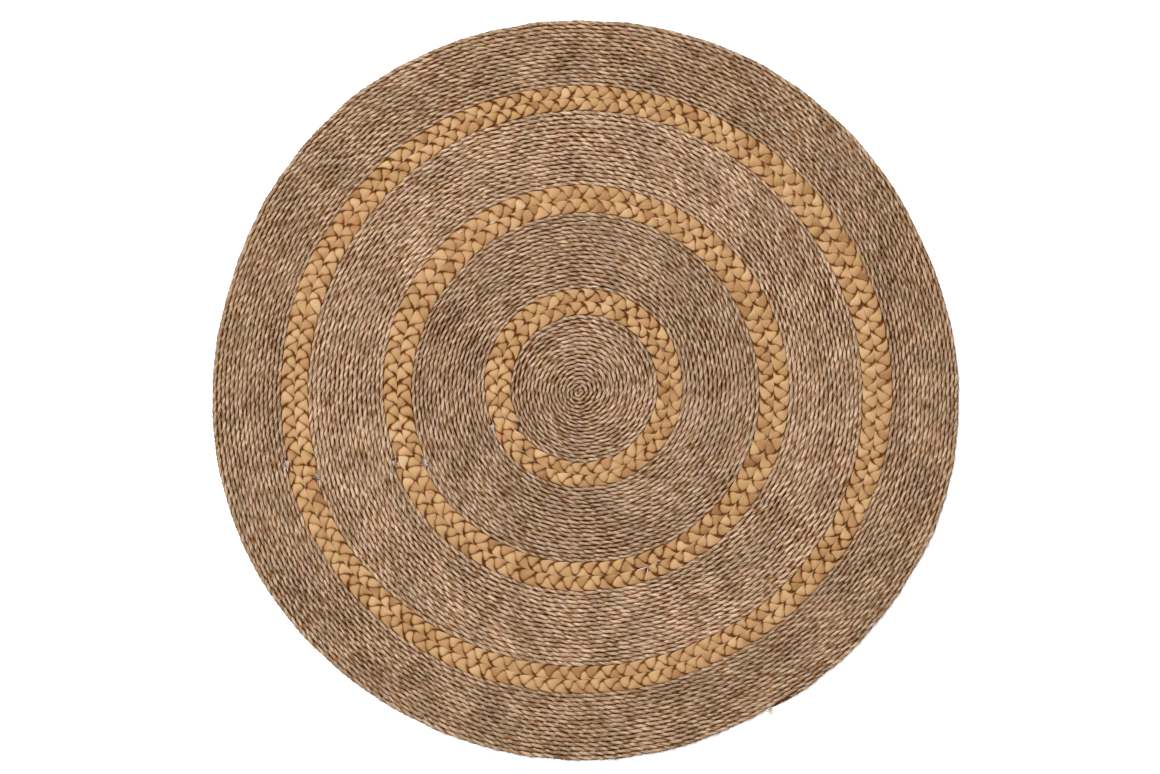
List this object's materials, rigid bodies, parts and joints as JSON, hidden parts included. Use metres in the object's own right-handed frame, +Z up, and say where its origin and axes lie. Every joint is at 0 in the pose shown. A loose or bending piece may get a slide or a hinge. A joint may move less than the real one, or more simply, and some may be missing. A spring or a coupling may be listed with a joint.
{
  "type": "round cord rug with braided bands",
  "caption": "Flat round floor rug: twisted plant-fibre cord wound outwards from the middle and stitched row to row, with bands of flat leaf braid between the rings.",
  "frame": {"origin": "middle of the rug's box on the floor plane, under the rug", "axes": "+Z up through the rug's thickness, +X to the right and +Y to the top of the pictured view"},
  "size_m": [1.0046, 0.9964, 0.0066],
  "materials": {
    "cord": "dull two-ply twisted grass cord, taupe to warm brown with paler fibres",
    "braid": "smooth dry leaf strips, golden tan with a soft sheen"
  },
  "bodies": {
    "root": {"middle_coil": "cord", "inner_ring": "cord", "middle_ring": "cord", "outer_ring": "cord", "braid_1": "braid", "braid_2": "braid", "braid_3": "braid"}
  },
  "joints": []
}
